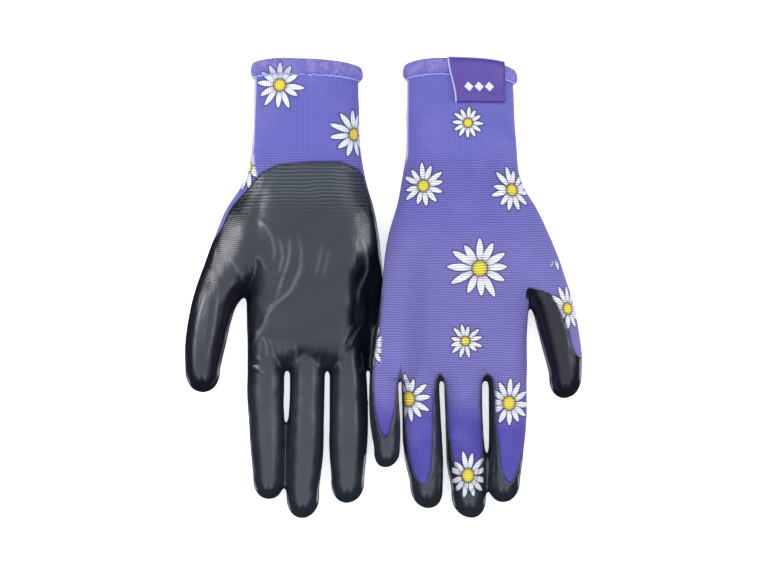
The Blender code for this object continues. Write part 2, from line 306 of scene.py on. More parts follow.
def one_skin(glove):
    """The whole glove as one closed skin, in millimetres, with soft crotches."""
    bm = bmesh.new()
    add_hand(bm, glove)
    for name in glove["fingers"]:
        add_finger(bm, glove, name)
    body = mesh_object("skin", bm)
    remesh = body.modifiers.new("knit_together", "REMESH")
    remesh.mode = "VOXEL"
    remesh.voxel_size = VOXEL
    remesh.use_smooth_shade = True
    graph = bpy.context.evaluated_depsgraph_get()
    bm = bmesh.new()
    bm.from_object(body, graph)
    bpy.data.objects.remove(body, do_unlink=True)
    for _ in range(SMOOTH_ROUNDS):
        bmesh.ops.smooth_vert(bm, verts=bm.verts, factor=0.5, use_axis_x=True, use_axis_y=True,
                              use_axis_z=True)
    return bm


def coordinates(bm):
    return np.array([v.co for v in bm.verts], float).reshape(-1, 3)


def normals_of(bm):
    bm.normal_update()
    return np.array([v.normal for v in bm.verts], float).reshape(-1, 3)


def averaged(bm, values, rounds):
    """Values on the vertices, averaged with their neighbours."""
    bm.verts.index_update()
    pairs = np.array([(e.verts[0].index, e.verts[1].index) for e in bm.edges])
    count = np.bincount(pairs.ravel(), minlength=len(bm.verts))[:, None] + 1.0
    for _ in range(rounds):
        total = values.copy()
        np.add.at(total, pairs[:, 0], values[pairs[:, 1]])
        np.add.at(total, pairs[:, 1], values[pairs[:, 0]])
        values = total / count
    return values


# ---------------------------------------------------------------- the dip
# How many millimetres of depth stand for a whole change of the direction a point faces
FACING_DEPTH = 9.0
# Depth of a place that is nowhere near the dip
FAR_OUT = -50.0


def nearest_finger(glove, across, along):
    """Place in PART_NAMES of the finger, index to little, whose middle line is nearest to each point."""
    edges = []
    for name in FINGER_NAMES[1:]:
        rows = glove["fingers"][name][0]
        table = smooth_table(rows, np.maximum(along, rows[-1][0]))
        edges.append(np.abs(across - 0.5 * (table[:, 0] + table[:, 1])))
    return np.argmin(np.array(edges), axis=0) + PART_NAMES.index("index")


def dip_depth(glove, points, facing):
    """About how far a point lies inside the dipped area, in millimetres, on the skin."""
    across = points[:, 0] * glove["side"]
    along = points[:, 1]
    back = -facing * glove["palm"]
    # the hand: palm side only, below the upper border, and how far round the edges it reaches
    line = np.interp(across, [p[0] for p in DIP_LINE], [p[1] for p in DIP_LINE])
    level = np.full(len(across), 0.12)
    thumb_side = across > 55.0
    level = np.where(thumb_side, 0.12 - 0.62 * smooth_step((along - 30.0) / 14.0), level)
    level = np.where(across < 20.0, 0.10 - 0.08 * smooth_step((along - 2.0) / 12.0), level)
    hand = np.minimum(line - along, FACING_DEPTH * (level - back))
    # the fingers: all round but for a window on the back
    closest = nearest_finger(glove, across, along)
    fingers = np.full(len(across), FAR_OUT)
    for number, name in enumerate(FINGER_NAMES[1:], start=PART_NAMES.index("index")):
        near, far = smooth_table(WINDOWS[name], along).T
        window = np.maximum(np.maximum(near - across, across - far), -FACING_DEPTH * (back - 0.02))
        fingers = np.where(closest == number, window, fingers)
    share = smooth_step((-22.0 - along) / 16.0)
    blended = hand * (1.0 - share) + fingers * share
    # a narrow strip round the outer edge of the back, down to the little finger
    near = smooth_table(WINDOWS["little"], along)[:, 0]
    strip = np.where((across < 16.0) & (along < 14.0) & (back > 0.0), near - across, FAR_OUT)
    blended = np.maximum(blended, strip)
    # the thumb, whose window opens to its outer edge
    near = smooth_table(WINDOWS["thumb"], along)[:, 0]
    thumb = np.maximum(near - across, -FACING_DEPTH * (back - 0.02))
    rim = 0.02 - 0.45 * smooth_step((along - 22.0) / 18.0)
    palm_part = np.minimum(line - along, FACING_DEPTH * (rim - back))
    root = np.where(along < 14.0, np.maximum(np.minimum(thumb, 14.0 - along), palm_part), palm_part)
    on_thumb = smooth_step((across - 72.0) / 4.0) * smooth_step((60.0 - along) / 16.0)
    on_thumb = np.where(along < -6.0, (across > glove["thumb_border"] - 1.4) * 1.0, on_thumb)
    return blended * (1.0 - on_thumb) + root * on_thumb


def cut_along(bm, depth, layer):
    """Adds an edge line where the depth crosses zero."""
    least = 0.02
    for vert, value in zip(bm.verts, depth):
        vert[layer] = value if abs(value) > least else math.copysign(least, value)
    crossing, percents = [], {}
    for edge in bm.edges:
        a, b = edge.verts[0][layer], edge.verts[1][layer]
        if a * b < 0.0:
            crossing.append(edge)
            percents[edge] = min(0.97, max(0.03, a / (a - b)))
    made = bmesh.ops.bisect_edges(bm, edges=crossing, cuts=1, edge_percents=percents)
    fresh = [g for g in made["geom_split"] if isinstance(g, bmesh.types.BMVert)]
    for vert in fresh:
        vert[layer] = 0.0
    bmesh.ops.connect_verts(bm, verts=fresh)


# ---------------------------------------------------------------- folds
# Raised folds on the palm: points (across, along), height, half-width
PALM_FOLDS = [
    ([(45.2, 33.0), (42.7, 23.1), (42.2, 15.9), (43.0, 9.2), (45.3, 3.3), (48.6, -2.7), (53.9, -7.3),
      (58.6, -12.4), (62.8, -21.3), (66.6, -28.8), (68.6, -34.0)], 0.36, 1.54),
    ([(48.4, 27.0), (48.0, 22.4), (48.3, 17.1), (49.6, 11.2), (52.0, 4.6), (54.2, -2.6), (56.6, -8.0)],
     0.34, 1.43),
    ([(55.0, 26.4), (52.6, 21.5), (51.8, 15.9), (52.8, 10.6), (54.4, 6.6)], 0.25, 1.43),
    ([(66.0, 37.0), (61.0, 32.0), (57.4, 26.0), (55.9, 18.5), (57.2, 11.0)], 0.21, 1.65),
    ([(66.0, 17.0), (62.5, 14.0), (60.4, 9.0)], 0.17, 1.54),
    ([(80.0, 17.0), (75.0, 9.0), (71.5, 2.0)], 0.17, 1.76),
    ([(31.0, 24.0), (32.8, 14.0), (35.4, 4.0)], 0.15, 1.76),
    ([(27.4, 22.0), (29.4, 12.0), (31.6, 4.0)], 0.11, 1.65),
    ([(13.0, 30.0), (9.6, 20.0), (8.8, 10.0), (11.7, 2.6), (13.6, -4.0), (12.4, -11.0)], 0.25, 1.43),
    ([(16.6, 30.0), (15.0, 18.0), (16.0, 8.0)], 0.11, 1.32),
    ([(62.5, -24.0), (60.4, -30.0), (60.2, -37.0)], 0.21, 1.32),
    ([(59.4, -25.0), (57.2, -31.0), (56.6, -38.0)], 0.17, 1.10),
    ([(68.4, -40.2), (64.6, -42.2), (60.6, -44.6)], 0.25, 0.99),
    ([(66.4, -38.0), (64.0, -36.6), (62.6, -39.4)], 0.15, 0.99),
    ([(11.4, -19.0), (15.4, -25.0), (18.0, -31.6)], 0.21, 1.10),
    ([(14.6, -18.0), (18.6, -24.0), (21.2, -30.0)], 0.19, 1.10),
    ([(22.6, -31.0), (22.8, -38.0), (21.4, -45.0)], 0.15, 1.10),
    ([(12.0, -32.0), (10.8, -39.0), (12.6, -46.0)], 0.15, 1.10),
    ([(32.6, -33.0), (34.0, -42.0), (33.6, -52.0)], 0.12, 1.10),
    ([(45.2, -27.0), (44.6, -36.0), (45.6, -46.0)], 0.12, 1.10),
    ([(90.6, 4.0), (92.4, -6.0), (95.4, -16.0), (97.2, -28.0), (97.6, -40.0), (96.2, -49.0)], 0.25, 1.32),
    ([(84.8, 2.0), (85.6, -8.0), (87.0, -18.0), (89.2, -30.0), (91.8, -42.0)], 0.23, 1.32),
    ([(89.6, -6.0), (91.4, -18.0), (93.4, -32.0)], 0.12, 1.32),
    ([(86.4, 26.0), (86.8, 14.0), (88.6, 2.0)], 0.12, 1.65),
]
# Width of the painted highlight along a fold's crest, as a share of the fold's half-width, and how pale it is
# per height
FOLD_HIGHLIGHT_SHARE = 0.52
FOLD_HIGHLIGHT_STRENGTH = 3.4
# The first and last share of a fold's length over which it fades away
FOLD_FADE = 0.28
STEPS_BETWEEN = 6
# Wide swells of the palm: across, along, spread across, spread along, height
PALM_SWELLS = [
    (68.0, 24.0, 10.0, 16.0, 1.2), (14.0, 16.0, 8.0, 24.0, 0.8), (36.0, 4.0, 12.0, 16.0, -1.0),
    (40.0, -30.0, 26.0, 7.0, 0.8), (74.0, -2.0, 6.0, 7.0, -1.2),
]


def distance_to_line(across, along, line):
    """Distance to a line, and how far along the line its closest point is, from 0 to 1."""
    best, share = np.full(len(across), 1e9), np.zeros(len(across))
    for number, ((x0, y0), (x1, y1)) in enumerate(zip(line, line[1:])):
        dx, dy = x1 - x0, y1 - y0
        t = np.clip(((across - x0) * dx + (along - y0) * dy) / (dx * dx + dy * dy), 0.0, 1.0)
        away = np.hypot(across - x0 - t * dx, along - y0 - t * dy)
        share = np.where(away < best, (number + t) / (len(line) - 1), share)
        best = np.minimum(best, away)
    return best, share


def rounded_line(line):
    """The line with a smooth bend, in short straight steps."""
    rows = [(float(n), x, y) for n, (x, y) in enumerate(line)]
    steps = (len(line) - 1) * STEPS_BETWEEN
    return [tuple(p) for p in smooth_table(rows, np.linspace(0.0, len(line) - 1.0, steps + 1))]


def fold_height(glove, points, facing):
    """How far the folds of the dipped palm stand up from the plain form, and how strong the painted highlight
    along their crests is.
    """
    across = points[:, 0] * glove["side"]
    along = points[:, 1]
    palm_share = smooth_step((facing * glove["palm"] - 0.15) / 0.45)
    height = np.zeros(len(across))
    fold_highlight = np.zeros(len(across))
    for line, rise, spread in PALM_FOLDS:
        away, share = distance_to_line(across, along, rounded_line(line))
        fade = smooth_step(share / FOLD_FADE) * smooth_step((1.0 - share) / FOLD_FADE)
        height += rise * fade * np.exp(-(away / spread) ** 2)
        pale = min(1.0, FOLD_HIGHLIGHT_STRENGTH * rise) * fade
        fold_highlight = np.maximum(fold_highlight, pale * np.exp(-(away / (FOLD_HIGHLIGHT_SHARE * spread)) ** 2))
    for x, y, wide, long, rise in PALM_SWELLS:
        height += rise * np.exp(-((across - x) / wide) ** 2 - ((along - y) / long) ** 2)
    return height * palm_share, fold_highlight * palm_share


def refine_folds(glove, bm):
    """Halves the mesh size where the palm is folded."""
    points = coordinates(bm)
    facing = normals_of(bm)[:, 2] * glove["palm"]
    close = np.zeros(len(points), bool)
    for line, _, spread in PALM_FOLDS:
        away = distance_to_line(points[:, 0] * glove["side"], points[:, 1], rounded_line(line))[0]
        close |= away < 2.4 * spread
    close &= facing > 0.1
    chosen = {v for v, is_close in zip(bm.verts, close) if is_close}
    edges = [e for e in bm.edges if e.verts[0] in chosen and e.verts[1] in chosen]
    bmesh.ops.subdivide_edges(bm, edges=edges, cuts=1, use_grid_fill=True)


def ripple(points, size, seed):
    """Slow uneven waviness between -1 and 1."""
    shift = Vector((seed, 2.0 * seed, 0.0))
    return np.array([noise.noise(Vector(p) / size + shift) for p in points])


# ---------------------------------------------------------------- one glove's skin
KNIT_WALL = 1.1
# The dip stands DIP_EDGE proud of the knit at its border and DIP_THICK more at DIP_FULL from it,
# where the knit under it sinks by DIP_SINK
DIP_THICK = 0.42
DIP_EDGE = 0.05
DIP_FULL = 1.4
DIP_WALL = 0.7
DIP_SINK = 0.35
# Uneven waviness of the skin: depth, size, seed
RIPPLES = [(0.28, 17.0, 3.0), (0.10, 6.0, 11.0)]
# The skin is not moved at this height or below, and is moved fully this much higher
TABLE_START = 0.4
TABLE_REACH = 3.0
# The little finger is knitted from a plain stretch of the cloth, this far from any daisy
PLAIN_CLOTH = -200.0


def mouth_shift(glove, points):
    """The mouth of the cuff bows: its corners sit lower than its middle."""
    near, far = smooth_table(glove["hand"], 110.0)[:2]
    u = (points[:, 0] * glove["side"] - 0.5 * (near + far)) / (0.5 * (far - near))
    u = np.clip(u, -1.1, 1.1)
    drop = glove["mouth_bow"] * np.abs(u) ** 3.2 + glove["mouth_slope"] * u
    return drop * smooth_step((points[:, 1] - 96.0) / 20.0)


def split_across(bm, along, chosen, clear=False):
    """Cuts the chosen part of the skin straight across, and can clear away what lies beyond."""
    verts = [v for v in bm.verts if chosen(v.co)]
    inside = set(verts)
    edges = [e for e in bm.edges if e.verts[0] in inside and e.verts[1] in inside]
    faces = [f for f in bm.faces if all(v in inside for v in f.verts)]
    bmesh.ops.bisect_plane(bm, geom=verts + edges + faces, dist=0.0001, plane_co=(0, along, 0),
                           plane_no=(0, 1, 0), clear_outer=clear)


def make_skin(glove):
    bm = one_skin(glove)
    bmesh.ops.recalc_face_normals(bm, faces=bm.faces)
    side, border, near = glove["side"], glove["thumb_border"], 3.0
    split_across(bm, MOUTH, lambda co: co.y > MOUTH - 4.0, clear=True)
    split_across(bm, CUFF_LINE, lambda co: abs(co.y - CUFF_LINE) < near)
    split_across(bm, glove["split"],
                 lambda co: abs(co.y - glove["split"]) < near and co.x * side < border)
    split_across(bm, glove["thumb_split"],
                 lambda co: abs(co.y - glove["thumb_split"]) < near and co.x * side > border - 1.0)
    points = coordinates(bm)
    facing = averaged(bm, normals_of(bm), 6)[:, 2]
    dip = bm.verts.layers.float.new("dip")
    depth = averaged(bm, dip_depth(glove, points, facing)[:, None], 2)[:, 0]
    cut_along(bm, depth, dip)
    refine_folds(glove, bm)
    points = coordinates(bm)
    normals = normals_of(bm)
    facing = averaged(bm, normals.copy(), 4)[:, 2]
    raised, fold_highlight = fold_height(glove, points, facing)
    # The painted highlight along the fold crests, kept for the rubber's colour
    paler = bm.verts.layers.float.new("fold_highlight")
    for vert, share in zip(bm.verts, fold_highlight):
        vert[paler] = share
    raised += sum(depth * ripple(points, size, seed) for depth, size, seed in RIPPLES)
    floor_share = smooth_step((points[:, 2] - TABLE_START) / TABLE_REACH)
    under_dip = DIP_SINK * smooth_step(np.array([v[dip] for v in bm.verts]) / DIP_FULL)
    moved = points + normals * (raised * floor_share - under_dip)[:, None]
    moved[:, 2] = np.maximum(moved[:, 2], 0.0)
    moved[:, 1] -= mouth_shift(glove, moved)
    for vert, place in zip(bm.verts, moved):
        vert.co = place
    keep = bm.verts.layers.float_vector.new("skin_normal")
    smoothed = averaged(bm, normals_of(bm), 1)
    for vert, normal in zip(bm.verts, smoothed):
        vert[keep] = Vector(normal).normalized()
    return bm


def part_numbers(glove, bm):
    """For each face, its place in PART_NAMES."""
    centres = np.array([f.calc_center_median() for f in bm.faces])
    across, along = centres[:, 0] * glove["side"], centres[:, 1]
    closest = nearest_finger(glove, across, along)
    border = glove["thumb_border"]
    part = np.where((along < glove["split"]) & (across < border), closest, 0)
    part = np.where(along > CUFF_LINE, CUFF, part)
    return np.where((along < glove["thumb_split"]) & (across > border), 1, part)


def cut_out(bm, wanted):
    """A copy of the skin with only the wanted faces."""
    piece = bm.copy()
    piece.faces.ensure_lookup_table()
    doomed = [f for f, keep in zip(piece.faces, wanted) if not keep]
    bmesh.ops.delete(piece, geom=doomed, context="FACES")
    return piece


def to_metres(item, cloth_shift=0.0):
    """Keeps the places in millimetres as the attribute "rest" for the print, then scales the mesh."""
    vertices = item.data.vertices
    rest = item.data.attributes.new("rest", "FLOAT_VECTOR", "POINT")
    flat = np.zeros(len(vertices) * 3, np.float32)
    vertices.foreach_get("co", flat)
    rest.data.foreach_set("vector", flat + np.tile((0.0, 0.0, cloth_shift), len(vertices)))
    vertices.foreach_set("co", flat * MM)


def finish_piece(bm, name, wall, keep_normals, cloth_shift=0.0):
    """Gives the skin a wall, then makes the object; the outside keeps the whole glove's normals."""
    layer = bm.verts.layers.float_vector["skin_normal"]
    dip = bm.verts.layers.float["dip"]
    surface = bm.verts.layers.float_vector.new("surface")
    for vert in bm.verts:
        vert[surface] = vert.co
    outside, outer_verts = set(bm.faces), set(bm.verts)
    bmesh.ops.solidify(bm, geom=list(bm.faces), thickness=wall)
    for vert in bm.verts:
        # an even wall would spike where the skin folds tightly, so each point goes straight in
        depth = 0.0 if vert in outer_verts else wall
        vert.co = vert[surface] - vert[layer] * depth
    split_normals = []
    for face in bm.faces:
        face.smooth = True
        outer = face in outside
        face.material_index = 0 if outer else 1
        for vert in face.verts:
            take = outer and keep_normals(vert[dip])
            split_normals.append(tuple(vert[layer]) if take else (0.0, 0.0, 0.0))
    item = mesh_object(name, bm)
    to_metres(item, cloth_shift)
    item.data.normals_split_custom_set(split_normals)
    for used in ("skin_normal", "surface"):
        item.data.attributes.remove(item.data.attributes[used])
    return item


# How far past its split a finger still bends with the hand
BEND_LENGTH = 13.0


def attach(glove, item, name):
    """The hand and the cuff ride the hand; a finger blends from the hand into its own body."""
    prefix = glove["prefix"]
    if name in ("hand", "cuff"):
        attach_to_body(item, prefix + "hand")
        return
    split = glove["thumb_split"] if name == "thumb" else glove["split"]
    near, far = smooth_table(glove["fingers"][name][0], split)
    across = glove["side"] * 0.5 * (near + far) * MM
    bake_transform(item, prefix + "hand", prefix + name, start=(across, (split - 0.5) * MM, 0.01),
             end=(across, (split - BEND_LENGTH) * MM, 0.01))


def build_skin_pieces(glove, knit, liner, glossy, dull):
    """The knitted liner of every part, and the dip that covers it."""
    bm = make_skin(glove)
    parts = part_numbers(glove, bm)
    dip = bm.verts.layers.float["dip"]
    coated = np.array([sum(v[dip] for v in f.verts) > 0.0 for f in bm.faces])
    prefix = glove["prefix"]
    for part, word in enumerate(PART_NAMES):
        piece = finish_piece(cut_out(bm, parts == part), prefix + word + "_liner", KNIT_WALL,
                             lambda depth: True, PLAIN_CLOTH if word == "little" else 0.0)
        piece.data.materials.append(knit)
        piece.data.materials.append(liner)
        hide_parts(prefix + {"hand": "hand_knit", "cuff": "cuff"}.get(word, word + "_stall"))
        attach(glove, piece, word)

        if word == "cuff":
            continue
        skin = cut_out(bm, (parts == part) & coated)
        layer, normal = skin.verts.layers.float["dip"], skin.verts.layers.float_vector["skin_normal"]
        for vert in skin.verts:
            share = float(smooth_step(vert[layer] / DIP_FULL))
            vert.co += vert[normal] * (DIP_EDGE + DIP_THICK * share)
            vert.co.z = max(vert.co.z, 0.0)
        piece = finish_piece(skin, prefix + word + "_dip", DIP_WALL, lambda depth: depth > 1.3)
        nitrile = dull if word in ("hand", "thumb") else glossy
        piece.data.materials.append(nitrile)
        piece.data.materials.append(nitrile)
        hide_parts(prefix + ("palm" if word == "hand" else word) + "_coating")
        attach(glove, piece, word)
    bm.free()


# ---------------------------------------------------------------- hem and thread
def cuff_point(glove, turn, along, offset):
    """Point outside the cuff by offset, following its bowed mouth."""
    near, far, top = smooth_table(glove["hand"], along)
    across, height = section(near - offset, far + offset, UNDERSIDE, top + offset, turn, HAND_SQUARE)
    point = np.array([[glove["side"] * across, along, max(height, 0.25)]])
    point[:, 1] -= mouth_shift(glove, point)
    return Vector(point[0])


# Cross-section of the hem: outwards from the cuff, along
HEM_PROFILE = [
    (-0.9, 109.6), (0.5, 109.7), (1.25, 110.2), (1.7, 111.4), (1.9, 113.0), (1.8, 114.8),
    (1.4, 116.4), (0.7, 117.3), (-0.2, 117.6), (-1.0, 117.2), (-1.5, 116.0), (-1.6, 112.8),
    (-1.5, 110.0),
]
HEM_AROUND = 360
# Small even puckers of the hem: how many, how high
HEM_PUCKERS = 96.0
PUCKER_HEIGHT = 0.10


def build_hem(glove, knit):
    """Folded and overlocked edge, a closed band round the mouth of the cuff."""
    bm = bmesh.new()
    rings = len(HEM_PROFILE)
    bmesh.ops.create_grid(bm, x_segments=HEM_AROUND, y_segments=rings, size=0.5)
    for vert in bm.verts:
        step = round((vert.co.x + 0.5) * HEM_AROUND)
        row = round((vert.co.y + 0.5) * rings) % rings
        turn = TURN * step / HEM_AROUND
        offset, along = HEM_PROFILE[row]
        if offset > 0.0:
            offset += PUCKER_HEIGHT * math.sin(turn * HEM_PUCKERS)
            offset += 0.14 * noise.noise(Vector((math.cos(turn) * 3.0, math.sin(turn) * 3.0, along / 5.0)))
        along += 0.25 * noise.noise(Vector((math.cos(turn) * 2.0, math.sin(turn) * 2.0, 4.0)))
        vert.co = cuff_point(glove, turn, along, offset)
    bmesh.ops.remove_doubles(bm, verts=bm.verts, dist=0.01)
    bmesh.ops.recalc_face_normals(bm, faces=bm.faces)
    item = plain_piece(bm, glove["prefix"] + "hem", knit)
    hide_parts(glove["prefix"] + "cuff_hem")
    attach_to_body(item, glove["prefix"] + "hand")


def plain_piece(bm, name, material):
    """One smooth object in metres, all of one material."""
    for face in bm.faces:
        face.smooth = True
    item = mesh_object(name, bm)
    to_metres(item)
    item.data.materials.append(material)
    return item


THREAD_STITCHES = 74
THREAD_ALONG = 109.3
# Above the cuff, half the thickness and half the length of a stitch, and its zigzag
THREAD_LIFT = 0.45
THREAD_HALF = 0.42
STITCH_REACH = 1.5
STITCH_ZIGZAG = 0.16


def build_thread(glove, thread):
    """Chain of overlapping stitches under the hem."""
    bm = bmesh.new()
    for number in range(THREAD_STITCHES):
        turn = TURN * number / THREAD_STITCHES
        here = cuff_point(glove, turn, THREAD_ALONG, THREAD_LIFT)
        ahead = cuff_point(glove, turn + 0.04, THREAD_ALONG, THREAD_LIFT)
        made = bmesh.ops.create_uvsphere(bm, u_segments=8, v_segments=8, radius=1.0)["verts"]
        run = (ahead - here).normalized()
        turned = Vector((0.0, 0.0, 1.0)).rotation_difference(run).to_matrix()
        for vert in made:
            stitch = Vector((vert.co.x * THREAD_HALF, vert.co.y * THREAD_HALF, vert.co.z * STITCH_REACH))
            vert.co = here + turned @ stitch
            vert.co.y += STITCH_ZIGZAG * math.cos(number * math.pi)
    item = plain_piece(bm, glove["prefix"] + "thread", thread)
    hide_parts(glove["prefix"] + "hem_stitching")
    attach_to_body(item, glove["prefix"] + "hand")


# ---------------------------------------------------------------- label
# The tape from its hidden end over the hem to its lower fold and back under: along, above the cuff
LABEL_PATH = [
    (104.0, -2.6), (108.0, -2.6), (112.0, -2.8), (115.4, -2.6), (117.2, -1.7), (118.1, -0.1),
    (117.7, 1.5), (116.1, 2.4), (113.4, 2.6), (110.0, 2.4), (106.0, 2.2), (102.0, 2.4),
    (98.6, 2.9), (96.2, 3.0), (95.2, 2.2), (95.8, 1.2), (99.0, 0.85), (103.0, 0.8), (106.0, 0.75),
]
LABEL_COLUMNS = 28
LABEL_ROWS = 96
LABEL_WALL = 0.32
LABEL_WIDE = 28.0
# Borders of the tape at the hem, and how far its lower fold leans towards the thumb
LABEL_NEAR = 32.9
LABEL_FAR = 62.2
LABEL_LEAN = 3.9
# Share of the tape's length that lies inside the cuff
LABEL_HIDDEN = 0.25


def build_label(glove, satin):
    """Woven tape looped over the hem, with its lower fold lying on the cuff."""
    bm = bmesh.new()
    bmesh.ops.create_grid(bm, x_segments=LABEL_COLUMNS, y_segments=LABEL_ROWS, size=0.5)
    rows = [(float(n), a, h) for n, (a, h) in enumerate(LABEL_PATH)]
    sew = bm.verts.layers.float_vector.new("tape")
    for vert in bm.verts:
        u, v = vert.co.x + 0.5, vert.co.y + 0.5
        along, lift = smooth_table(rows, v * (len(LABEL_PATH) - 1))
        slant = float(smooth_step((118.0 - along) / 22.0)) if v > LABEL_HIDDEN else 0.0
        across = LABEL_NEAR + LABEL_LEAN * slant + u * (LABEL_FAR - LABEL_NEAR - LABEL_LEAN * slant)
        near, far, top = smooth_table(glove["hand"], along)
        share = abs((across - 0.5 * (near + far)) / (0.5 * (far - near) + 1.0))
        middle = 0.5 * (top + UNDERSIDE)
        bulge = (1.0 - min(share, 0.98) ** HAND_SQUARE) ** (1 / HAND_SQUARE)
        base = middle + (top - middle) * bulge
        sag = 0.35 * math.sin(u * math.pi) * math.sin(v * 7.0)
        place = np.array([[across, along, base + lift + sag]])
        place[:, 1] -= mouth_shift(glove, place) * 0.7
        vert.co = Vector(place[0])
        vert[sew] = (u, v, 0.0)
    for face in bm.faces:
        face.smooth = True
    bmesh.ops.recalc_face_normals(bm, faces=bm.faces)
    bmesh.ops.solidify(bm, geom=list(bm.faces), thickness=LABEL_WALL)
    item = plain_piece(bm, "palm_down_tag", satin)
    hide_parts("palm_down_label")
    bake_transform(item, "palm_down_hand", "palm_down_label", start=(0.0478, 0.1165, 0.029),
             end=(0.0478, 0.1110, 0.029))


# ---------------------------------------------------------------- materials
def linear(code):
    """sRGB hex code to a linear colour."""
    parts = [int(code[i:i + 2], 16) / 255.0 for i in (1, 3, 5)]
    parts = [c / 12.92 if c <= 0.04045 else ((c + 0.055) / 1.055) ** 2.4 for c in parts]
    return (parts[0], parts[1], parts[2], 1.0)


def fill(tree, made, values):
    """Sets the inputs of a node, and links those whose value is a socket."""
    for slot, value in values.items():
        if isinstance(value, bpy.types.NodeSocket):
            tree.links.new(value, made.inputs[slot])
        else:
            made.inputs[slot].default_value = value


def add(tree, recipe, *values):
    """Adds a node by its recipe, with its settings, values and links."""
    kind, settings, slots, wanted = recipe
    made = tree.nodes.new(kind)
    for key, value in settings.items():
        setattr(made, key, value)
    fill(tree, made, dict(zip(slots, values)))
    return made if wanted is None else made.outputs[wanted]


# Recipes: kind of node, settings, inputs in the order they are given, output that is read
(ABSOLUTE, ADD, ARCTAN2, COSINE, DIVIDE, FLOOR, MAXIMUM, MULTIPLY, MULTIPLY_ADD, PINGPONG, POWER, SINE,
 SQRT, SUBTRACT, WRAP) = [("ShaderNodeMath", {"operation": word}, (0, 1, 2), 0) for word in (
     "ABSOLUTE", "ADD", "ARCTAN2", "COSINE", "DIVIDE", "FLOOR", "MAXIMUM", "MULTIPLY", "MULTIPLY_ADD",
     "PINGPONG", "POWER", "SINE", "SQRT", "SUBTRACT", "WRAP")]
CLAMPED_DIVIDE = ("ShaderNodeMath", {"operation": "DIVIDE", "use_clamp": True}, (0, 1), 0)
VECTOR_SUBTRACT = ("ShaderNodeVectorMath", {"operation": "SUBTRACT"}, (0, 1), 0)
VECTOR_CROSS = ("ShaderNodeVectorMath", {"operation": "CROSS_PRODUCT"}, (0, 1), 0)
VECTOR_DOT = ("ShaderNodeVectorMath", {"operation": "DOT_PRODUCT"}, (0, 1), "Value")
STEP = ("ShaderNodeMapRange", {"interpolation_type": "SMOOTHSTEP"}, (0, 1, 2, 3, 4), 0)
MIX_VALUES = ("ShaderNodeMix", {}, (0, 2, 3), 0)
MIX = ("ShaderNodeMix", {"data_type": "RGBA"}, (0, 6, 7), 2)
TINT = ("ShaderNodeMix", {"data_type": "RGBA", "blend_type": "MULTIPLY"}, (0, 6, 7), 2)
GREY = ("ShaderNodeCombineColor", {}, (0, 1, 2), 0)
PARTS = ("ShaderNodeSeparateXYZ", {}, (0,), None)
CHANCE = ("ShaderNodeTexWhiteNoise", {"noise_dimensions": "1D"}, ("W",), "Value")
CLOUDS = ("ShaderNodeTexNoise", {}, ("Vector", "Scale", "Detail"), 0)
STRETCH = ("ShaderNodeMapping", {}, ("Vector", "Scale"), 0)
BUMP = ("ShaderNodeBump", {}, ("Strength", "Distance", "Height"), 0)
REST = ("ShaderNodeAttribute", {"attribute_name": "rest"}, (), "Vector")
TAPE = ("ShaderNodeAttribute", {"attribute_name": "tape"}, (), "Vector")
DIP = ("ShaderNodeAttribute", {"attribute_name": "dip"}, (), "Fac")
FOLD_HIGHLIGHT = ("ShaderNodeAttribute", {"attribute_name": "fold_highlight"}, (), "Fac")
DIRECTION = ("ShaderNodeTexCoord", {}, (), "Generated")
GROUP_START = ("NodeGroupInput", {}, (), None)
GROUP_END = ("NodeGroupOutput", {}, ("Colour", "Print"), None)
DAISY_INPUTS = {"Colour": "NodeSocketColor", "Rest": "NodeSocketVector", "Centre": "NodeSocketVector",
                "Right": "NodeSocketVector", "Up": "NodeSocketVector", "Radius": "NodeSocketFloat",
                "Disc": "NodeSocketFloat", "Turn": "NodeSocketFloat"}


def new_material(name):
    material = bpy.data.materials.new(name)
    material.use_nodes = True
    return material, material.node_tree, material.node_tree.nodes["Principled BSDF"]


PETAL_COUNT = 12.0
# A daisy is printed on cloth down to this far under its middle
PRINT_DEPTH = 9.5


